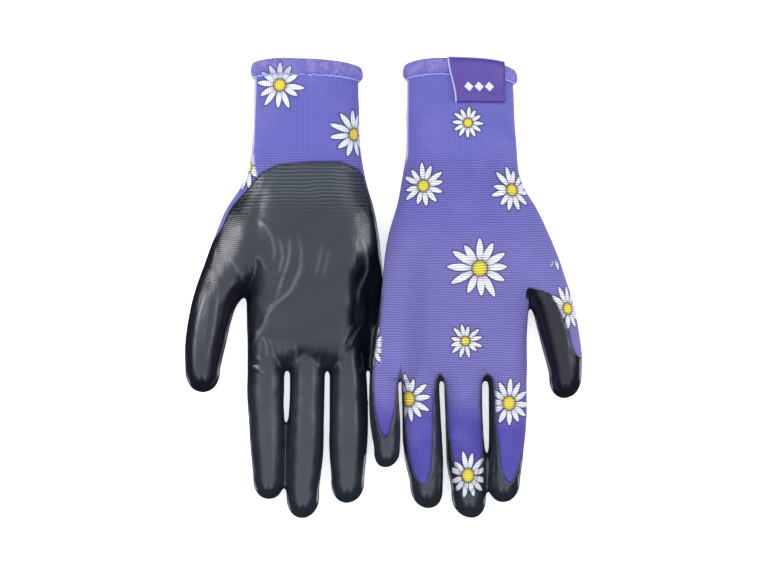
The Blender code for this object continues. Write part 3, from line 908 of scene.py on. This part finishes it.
def daisy_group():
    """One printed daisy: pointed petals with an inked outline round a yellow disc."""
    tree = bpy.data.node_groups.new("daisy_print", "ShaderNodeTree")
    face = tree.interface
    for name, kind in DAISY_INPUTS.items():
        face.new_socket(name, in_out="INPUT", socket_type=kind)
    face.new_socket("Colour", in_out="OUTPUT", socket_type="NodeSocketColor")
    face.new_socket("Print", in_out="OUTPUT", socket_type="NodeSocketFloat")
    start = add(tree, GROUP_START).outputs
    away = add(tree, VECTOR_SUBTRACT, start["Rest"], start["Centre"])
    u = add(tree, VECTOR_DOT, away, start["Right"])
    v = add(tree, VECTOR_DOT, away, start["Up"])
    depth = add(tree, VECTOR_DOT, away, add(tree, VECTOR_CROSS, start["Right"], start["Up"]))
    near = add(tree, STEP, depth, -PRINT_DEPTH, 1.0 - PRINT_DEPTH)
    radius = add(tree, SQRT, add(tree, MULTIPLY_ADD, u, u, add(tree, MULTIPLY, v, v)))
    turn = add(tree, ADD, add(tree, ARCTAN2, v, u), start["Turn"])
    slots = add(tree, MULTIPLY, turn, PETAL_COUNT / TURN)
    cell = add(tree, FLOOR, slots)
    cell_seed = add(tree, ADD, add(tree, WRAP, cell, PETAL_COUNT, 0.0), start["Radius"])
    chance = add(tree, CHANCE, cell_seed)
    inside = add(tree, SUBTRACT, add(tree, SUBTRACT, slots, cell), 0.5)
    angle = add(tree, MULTIPLY_ADD, inside, TURN / PETAL_COUNT, add(tree, MULTIPLY_ADD, chance, 0.14, -0.07))
    along = add(tree, MULTIPLY, radius, add(tree, COSINE, angle))
    across = add(tree, ABSOLUTE, add(tree, MULTIPLY, radius, add(tree, SINE, angle)))
    length = add(tree, MULTIPLY, start["Radius"], add(tree, MULTIPLY_ADD, chance, 0.2, 0.82))
    root = add(tree, MULTIPLY, start["Disc"], 0.75)
    share = add(tree, CLAMPED_DIVIDE, add(tree, SUBTRACT, along, root), add(tree, SUBTRACT, length, root))
    belly = add(tree, MULTIPLY, add(tree, POWER, share, 0.75),
                add(tree, POWER, add(tree, SUBTRACT, 1.0, share), 0.75))
    half = add(tree, MULTIPLY, belly, add(tree, MULTIPLY, start["Radius"], 0.30))
    petal_gap = add(tree, SUBTRACT, across, half)
    reach = add(tree, SUBTRACT, along, length)
    petal = add(tree, MULTIPLY, add(tree, STEP, petal_gap, 0.16, -0.16), near)
    petal = add(tree, MULTIPLY, petal, add(tree, STEP, half, 0.02, 0.2))
    ink = add(tree, MULTIPLY, add(tree, STEP, petal_gap, 0.95, 0.4), add(tree, STEP, reach, 0.9, 0.2))
    ink = add(tree, MULTIPLY, ink, near)
    disc = add(tree, MULTIPLY, add(tree, STEP, add(tree, SUBTRACT, radius, start["Disc"]), 0.15, -0.15), near)
    rim = add(tree, MULTIPLY, add(tree, STEP, add(tree, SUBTRACT, radius, start["Disc"]), 0.85, 0.35), near)
    colour = add(tree, MIX, add(tree, MULTIPLY, ink, 0.82), start["Colour"], linear("#363150"))
    white = add(tree, MIX, add(tree, STEP, share, 0.45, 0.0), linear("#E6E5EA"), linear("#A9A5B4"))
    colour = add(tree, MIX, petal, colour, white)
    colour = add(tree, MIX, add(tree, MULTIPLY, rim, 0.85), colour, linear("#4A432E"))
    gold = add(tree, MIX, add(tree, STEP, add(tree, DIVIDE, radius, start["Disc"]), 0.5, 1.0),
               linear("#E6D14B"), linear("#BCA63B"))
    colour = add(tree, MIX, disc, colour, gold)
    add(tree, GROUP_END, colour, add(tree, MAXIMUM, ink, petal))
    return tree


# Printed daisies: across, along, radius, disc radius, turn, tilt of the cloth towards the thumb
BACK_DAISIES = [
    (43.4, 84.5, 8.6, 2.2, 0.3, 0.0), (19.9, 52.2, 12.0, 2.9, 0.1, -0.35),
    (67.6, 50.2, 12.4, 2.9, 0.5, 0.35), (49.5, 9.8, 16.8, 3.8, 0.25, 0.0),
    (42.2, -27.6, 9.2, 2.2, 0.0, 0.0), (96.9, -10.9, 12.6, 2.8, 0.4, 0.75),
    (95.4, 19.5, 12.0, 2.4, 0.2, 0.8), (12.7, -57.5, 13.4, 3.7, 0.12, -0.12),
    (64.9, -59.7, 13.6, 3.5, 0.3, 0.1), (43.6, -97.0, 13.0, 3.4, 0.5, 0.0),
    (-12.0, -30.0, 12.0, 2.4, 0.2, -1.0),
]
FRONT_DAISIES = {
    "palm_up_": [(53.5, 104.0, 13.0, 3.0, 0.35, 0.2), (13.4, 78.9, 12.8, 3.0, 0.1, -1.0),
                 (76.4, 62.0, 13.0, 2.4, 0.3, 1.15)],
    "palm_down_": [(53.5, 104.0, 13.0, 3.0, 0.35, 0.2), (34.0, 78.9, 12.8, 3.0, 0.1, 0.0)],
}


# Daisies below this line lie on a finger, where the print narrows as it wraps round
FINGERS_BELOW = -46.0
FINGER_NARROWING = 1.16
# How far a tilted daisy's plane moves into the glove, for a quarter turn
TILT_SINK = 9.0 * 1.3
# The middle finger's daisy shows through the thin border of the dip beside its window
THIN_DIP_DAISIES = [BACK_DAISIES[9]]


def finger_top(glove, across):
    """Height of the finger that lies at this place across the hand."""
    rows = glove["fingers"]
    name = min(FINGER_NAMES[1:], key=lambda word: abs(across - 0.5 * sum(rows[word][0][3][1:])))
    return rows[name][2][1]


def daisy_chain(tree, group, rest, colour, glove, back, front):
    """Adds daisies, each printed flat on the cloth where it lies."""
    shown = 0.0
    for daisies, facing in ((back, -glove["palm"]), (front, glove["palm"])):
        for across, along, radius, disc, turn, tilt in daisies:
            rows = glove["hand"]
            on_finger = along < FINGERS_BELOW
            level = finger_top(glove, across) if on_finger else float(smooth_table(rows, along)[2])
            if facing < 0.0:
                level = 0.0
            lift = EDGE_LIFT * float(edge_share(across, along))
            lift = lift if glove["palm"] < 0.0 and not on_finger else 0.0
            height = level + lift - facing * TILT_SINK * (1.0 - math.cos(tilt))
            narrowing = FINGER_NARROWING if on_finger else 1.0
            right = Vector((glove["side"] * math.cos(tilt), 0.0, -facing * math.sin(tilt))) * narrowing
            up = Vector((0.0, 1.0, 0.0)) * glove["side"] * facing
            made = add(tree, ("ShaderNodeGroup", {"node_tree": group}, DAISY_INPUTS, None), colour, rest,
                       (glove["side"] * across, along, height), right, up, radius, disc, turn)
            colour = made.outputs["Colour"]
            shown = add(tree, MAXIMUM, shown, made.outputs["Print"])
    return colour, shown


# Spacing of the stitches, of the ribs of the cuff, of the ribs and rows that show through the dip,
# of the threads round the hem and of the tape's warp
COURSE_PITCH = 1.25
WALE_PITCH = 1.45
CUFF_RIB_PITCH = 1.2
RIB_PITCH = 1.86
FINE_PITCH = 1.05
HEM_THREAD_PITCH = 1.1
WEAVE_PITCH = 0.5
# The columns of stitches under the dip are drawn out along the hand
WALES_STRETCH = (0.9, 0.12, 0.4)
# Where the row of marks lies on the label
MARKS_ALONG = 103.0


def knit_lines(tree, rest):
    """Rows of V-shaped stitches, 0 in the grooves and 1 on the yarn, and the place on the cloth."""
    x, y, z = add(tree, PARTS, rest).outputs
    wander = add(tree, CLOUDS, rest, 0.09, 1.0)
    y = add(tree, MULTIPLY_ADD, wander, 1.6, y)
    column = add(tree, PINGPONG, add(tree, DIVIDE, x, WALE_PITCH), 0.5)
    slanted = add(tree, MULTIPLY_ADD, column, COURSE_PITCH * 0.7, y)
    wave = add(tree, SINE, add(tree, MULTIPLY, slanted, TURN / COURSE_PITCH))
    course = add(tree, MULTIPLY_ADD, wave, 0.5, 0.5)
    groove = add(tree, STEP, column, 0.0, 0.16)
    return course, groove, x, y, z


def knit_material(glove, group):
    """Sublimation-printed polyester knit: matt, with fine courses that catch the light."""
    material, tree, shader = new_material(glove["prefix"] + "printed_polyester_knit")
    rest = add(tree, REST)
    dip = add(tree, DIP)
    course, groove, x, y, z = knit_lines(tree, rest)
    on_cuff = add(tree, STEP, y, 64.0, 74.0)
    on_finger = add(tree, STEP, y, -48.0, -72.0)
    rib = add(tree, MULTIPLY_ADD, add(tree, SINE, add(tree, MULTIPLY, x, TURN / CUFF_RIB_PITCH)), 0.5, 0.5)
    base = add(tree, MIX, add(tree, STEP, y, 10.0, 50.0), linear("#746FAE"), linear("#6864AC"))
    base = add(tree, MIX, on_cuff, base, linear("#6866B4"))
    base = add(tree, MIX, on_finger, base, linear("#534CA2"))
    patch = add(tree, CLOUDS, rest, 0.05, 2.0)
    base = add(tree, MIX, add(tree, STEP, patch, 0.4, 0.8, 0.0, 0.5), base, linear("#7B76BC"))
    colour = daisy_chain(tree, group, rest, base, glove, BACK_DAISIES, FRONT_DAISIES[glove["prefix"]])[0]
    # Painted highlight: a pale line down the outermost side wall of the cuff, half-way up, where the edge
    # turns away from above
    start, lean = glove["painted_rim_highlight"]
    beyond = add(tree, SUBTRACT, x, add(tree, MULTIPLY_ADD, y, lean, start))
    painted_rim_highlight = add(tree, STEP, beyond, 0.8, 0.4)
    for place, gone, full in ((y, 62.0, 70.0), (z, 13.0, 13.8), (z, 17.5, 16.7)):
        painted_rim_highlight = add(tree, MULTIPLY, painted_rim_highlight, add(tree, STEP, place, gone, full))
    colour = add(tree, MIX, painted_rim_highlight, colour, linear("#BDB9E0"))
    yarn = add(tree, MULTIPLY, course, add(tree, MULTIPLY_ADD, groove, 0.4, 0.6))
    ribbed = add(tree, MULTIPLY_ADD, rib, 0.6, add(tree, MULTIPLY, course, 0.4))
    yarn = add(tree, MIX_VALUES, on_cuff, yarn, ribbed)
    contrast = add(tree, STEP, on_finger, 0.0, 1.0, 0.95, 0.35)
    contrast = add(tree, MIX_VALUES, on_cuff, contrast, 0.6)
    shade = add(tree, MULTIPLY_ADD, add(tree, SUBTRACT, yarn, 0.45), contrast, 1.0)
    shade = add(tree, MULTIPLY, shade, add(tree, STEP, dip, -1.6, 0.1, 1.0, 0.35))
    colour = add(tree, TINT, 1.0, colour, add(tree, GREY, shade, shade, shade))
    bump = add(tree, BUMP, 0.45, 0.00022, yarn)
    fill(tree, shader, {"Base Color": colour, "Normal": bump, "Roughness": 0.78, "Specular IOR Level": 0.25,
                        "Sheen Weight": 0.25, "Sheen Roughness": 0.45, "Sheen Tint": linear("#B9B2F0")})
    return material


def liner_material():
    """Unprinted inside of the knit: pale lilac loops, quite matt."""
    material, tree, shader = new_material("unprinted_knit_liner")
    rest = add(tree, REST)
    course, groove = knit_lines(tree, rest)[:2]
    yarn = add(tree, MULTIPLY, course, groove)
    colour = add(tree, MIX, yarn, linear("#8F8AB8"), linear("#C9C6E2"))
    bump = add(tree, BUMP, 0.5, 0.00025, yarn)
    fill(tree, shader, {"Base Color": colour, "Normal": bump, "Roughness": 0.9})
    return material


def nitrile_material(glove, group, film, ior):
    """Dipped nitrile: smooth dark grey rubber, glossy, with the knit telegraphing through at the top."""
    material, tree, shader = new_material(glove["prefix"] + film + "_nitrile_rubber")
    rest = add(tree, REST)
    x, y = add(tree, PARTS, rest).outputs[:2]
    wander = add(tree, CLOUDS, rest, 0.07, 1.0)
    y_bent = add(tree, MULTIPLY_ADD, wander, 2.0, y)
    rib = add(tree, SINE, add(tree, MULTIPLY, y_bent, TURN / RIB_PITCH))
    rib = add(tree, MULTIPLY, add(tree, STEP, rib, 0.35, 0.9), add(tree, STEP, y, 34.0, 48.0))
    fine = add(tree, SINE, add(tree, MULTIPLY, y_bent, TURN / FINE_PITCH))
    wales = add(tree, CLOUDS, add(tree, STRETCH, rest, WALES_STRETCH), 1.0, 2.0)
    height = add(tree, MULTIPLY_ADD, rib, -2.8, add(tree, MULTIPLY, fine, 0.14))
    height = add(tree, MULTIPLY_ADD, wales, add(tree, STEP, y, 26.0, 38.0, 1.5, 0.3), height)
    bump = add(tree, BUMP, 0.6, 0.0001, height)
    cloudy = add(tree, CLOUDS, rest, 0.06, 3.0)
    colour = add(tree, MIX, add(tree, STEP, cloudy, 0.3, 0.7), linear("#0A0F15"), linear("#131920"))
    colour = add(tree, MIX, add(tree, STEP, y, 36.0, 52.0, 0.0, 0.8), colour, linear("#3A424B"))
    colour = add(tree, MIX, add(tree, STEP, y, -30.0, -60.0, 0.0, 0.8), colour, linear("#242A32"))
    # Painted shade: the rubber is darker in the grooves between the ribs near the top
    colour = add(tree, MIX, add(tree, MULTIPLY, rib, 0.6), colour, linear("#0A0E12"))
    thumb = add(tree, STEP, add(tree, MULTIPLY, x, glove["side"]), 66.0, 80.0)
    colour = add(tree, MIX, add(tree, MULTIPLY, thumb, add(tree, STEP, y, 40.0, 14.0)), colour,
                 linear("#17141F"))
    # Painted highlight: paler rubber colour along the crests of the palm folds, broken into patches
    fold_highlight = add(tree, FOLD_HIGHLIGHT)
    patchy = add(tree, CLOUDS, rest, 0.12, 1.0)
    fold_highlight = add(tree, MULTIPLY, fold_highlight, add(tree, STEP, patchy, 0.3, 0.55, 0.5, 1.0))
    colour = add(tree, MIX, fold_highlight, colour, linear("#4F5660"))
    dip = add(tree, DIP)
    printed, shown = daisy_chain(tree, group, rest, colour, glove, THIN_DIP_DAISIES, [])
    aside = add(tree, ABSOLUTE, add(tree, SUBTRACT, x, glove["side"] * THIN_DIP_DAISIES[0][0]))
    thin = add(tree, MULTIPLY, add(tree, MULTIPLY, shown, add(tree, STEP, dip, 5.5, 4.0)),
               add(tree, STEP, aside, 8.3, 7.7))
    colour = add(tree, MIX, add(tree, MULTIPLY, thin, 0.9), colour, printed)
    fill(tree, shader, {"Base Color": colour, "Normal": bump,
                        "Roughness": add(tree, STEP, cloudy, 0.3, 0.7, 0.2, 0.27), "IOR": ior})
    return material


def thread_material():
    """Light blue overlock thread, twisted and slightly shiny."""
    material, tree, shader = new_material("twisted_overlock_thread")
    rest = add(tree, REST)
    twist = add(tree, CLOUDS, rest, 1.2, 1.0)
    colour = add(tree, MIX, add(tree, STEP, twist, 0.35, 0.65), linear("#8F9CE4"), linear("#B4BEF5"))
    fill(tree, shader, {"Base Color": colour, "Roughness": 0.6})
    return material


def hem_material(glove, group):
    """Folded edge of the printed knit, sewn over with purple thread: close upright threads."""
    material, tree, shader = new_material(glove["prefix"] + "overlocked_knit_edge")
    rest = add(tree, REST)
    x = add(tree, PARTS, rest).outputs[0]
    upright = add(tree, SINE, add(tree, MULTIPLY, x, TURN / HEM_THREAD_PITCH))
    patch = add(tree, CLOUDS, rest, 0.35, 2.0)
    colour = add(tree, MIX, add(tree, STEP, patch, 0.35, 0.7), linear("#7E77C4"), linear("#9B95D8"))
    colour = daisy_chain(tree, group, rest, colour, glove, BACK_DAISIES,
                         FRONT_DAISIES[glove["prefix"]])[0]
    colour = add(tree, MIX, add(tree, MULTIPLY_ADD, upright, 0.16, 0.18), colour, linear("#4E4694"))
    bump = add(tree, BUMP, 0.6, 0.0002, upright)
    fill(tree, shader, {"Base Color": colour, "Normal": bump, "Roughness": 0.75})
    return material


def satin_material():
    """Woven satin tape: smooth purple warp with a soft sheen, a pale left edge and a painted highlight on its
    fold over the hem.
    """
    material, tree, shader = new_material("woven_satin_tape")
    u, v = add(tree, PARTS, add(tree, TAPE)).outputs[:2]
    x, y = add(tree, PARTS, add(tree, REST)).outputs[:2]
    weave = add(tree, SINE, add(tree, MULTIPLY, x, TURN / WEAVE_PITCH))
    colour = add(tree, MIX, add(tree, MULTIPLY_ADD, weave, 0.1, 0.1), linear("#573F99"), linear("#4A3588"))
    # Pale along the tape's left edge, and a painted highlight over the top of its fold round the hem
    edge = add(tree, MAXIMUM, add(tree, STEP, u, 0.035, 0.015), add(tree, STEP, v, 0.345, 0.33))
    colour = add(tree, MIX, edge, colour, linear("#CFC6EC"))
    for across in (0.3, 0.5, 0.7):
        sideways = add(tree, MULTIPLY, add(tree, SUBTRACT, u, across), LABEL_WIDE)
        gap = add(tree, ADD, add(tree, ABSOLUTE, sideways),
                  add(tree, ABSOLUTE, add(tree, SUBTRACT, y, MARKS_ALONG)))
        mark = add(tree, MULTIPLY, add(tree, STEP, gap, 2.6, 2.3), add(tree, STEP, v, 0.75, 0.7))
        mark = add(tree, MULTIPLY, mark, add(tree, STEP, v, 0.2, 0.25))
        colour = add(tree, MIX, mark, colour, linear("#E6E0F4"))
    fill(tree, shader, {"Base Color": colour, "Roughness": 0.42, "Anisotropic": 0.4})
    return material


# ---------------------------------------------------------------- build
daisy = daisy_group()
liner = liner_material()
thread = thread_material()
for glove in (PALM_UP, PALM_DOWN):
    glossy = dull = nitrile_material(glove, daisy, "thick_dipped", 1.64)
    if glove["palm"] < 0.0:
        dull = nitrile_material(glove, daisy, "thin_dipped", 1.47)
    build_skin_pieces(glove, knit_material(glove, daisy), liner, glossy, dull)
    build_hem(glove, hem_material(glove, daisy))
    build_thread(glove, thread)
build_label(PALM_DOWN, satin_material())


# ---------------------------------------------------------------- studio
def floor_material():
    material, tree, shader = new_material("white_sweep_paper")
    fill(tree, shader, {"Base Color": linear("#F4F4F4"), "Roughness": 0.9,
                        "Emission Color": linear("#FFFFFF"), "Emission Strength": 0.62})
    return material


# Soft panels round the table: direction, outer and inner half angle, strength
SOFTBOXES = [
    ((-0.40, 0.30, 0.86), 0.32, 0.04, 0.3), ((0.44, 0.36, 0.82), 0.28, 0.06, 0.9),
    ((-0.36, -0.52, 0.78), 0.24, 0.06, 1.8), ((0.36, -0.52, 0.78), 0.24, 0.06, 1.8),
    ((0.72, 0.0, -0.70), 0.24, 0.12, 3.4), ((-0.66, -0.25, -0.70), 0.20, 0.10, 2.4),
]


def build_studio():
    bm = bmesh.new()
    bmesh.ops.create_grid(bm, x_segments=1, y_segments=1, size=3.0)
    floor = mesh_object("floor", bm)
    floor.location.z = -0.0006
    floor.data.materials.append(floor_material())
    floor.visible_glossy = False
    world = bpy.data.worlds.new("studio")
    bpy.context.scene.world = world
    world.use_nodes = True
    tree = world.node_tree
    view = add(tree, DIRECTION)
    y, z = add(tree, PARTS, view).outputs[1:]
    strip = add(tree, MULTIPLY_ADD, add(tree, MULTIPLY, y, y), -1.2, z)
    strength = add(tree, STEP, strip, 0.34, 0.78, 0.04, 1.32)
    for direction, outer, inner, gain in SOFTBOXES:
        towards = Vector(direction).normalized()
        facing = add(tree, VECTOR_DOT, view, towards)
        lobe = add(tree, STEP, facing, math.cos(outer), math.cos(inner), 0.0, gain)
        strength = add(tree, ADD, strength, lobe)
    fill(tree, tree.nodes["Background"], {"Strength": strength, "Color": linear("#EAF2FF")})


def add_lamp(name, place, target, size, power, shiny=True):
    data = bpy.data.lights.new(name, "AREA")
    data.shape = "RECTANGLE"
    data.size, data.size_y = size
    data.energy = power
    lamp = bpy.data.objects.new(name, data)
    bpy.context.scene.collection.objects.link(lamp)
    lamp.location = place
    lamp.rotation_euler = (Vector(target) - Vector(place)).to_track_quat("-Z", "Y").to_euler()
    lamp.visible_glossy = shiny
    lamp.visible_camera = False


CAMERA_HEIGHT = 1.5
PLANE_HEIGHT = 0.012
VIEW_WIDTH = 0.3978


def build_camera():
    """Looks straight down, so that VIEW_WIDTH fills the frame at PLANE_HEIGHT."""
    data = bpy.data.cameras.new("camera")
    data.sensor_width = 36.0
    data.lens = 36.0 * (CAMERA_HEIGHT - PLANE_HEIGHT) / VIEW_WIDTH
    camera = bpy.data.objects.new("camera", data)
    bpy.context.scene.collection.objects.link(camera)
    camera.location = (0.0003, -0.0003, CAMERA_HEIGHT)
    bpy.context.scene.camera = camera


build_studio()
add_lamp("left_strip", (-0.9, 0.2, 0.55), (0.0, 0.0, 0.0), (0.12, 0.9), 4.0)
add_lamp("right_strip", (0.9, 0.1, 0.55), (0.0, 0.0, 0.0), (0.12, 0.9), 3.0)
add_lamp("ceiling", (0.0, 0.0, 1.8), (0.0, 0.0, 0.0), (1.4, 1.4), 9.5, shiny=False)
build_camera()
bpy.context.scene.view_settings.view_transform = "Standard"
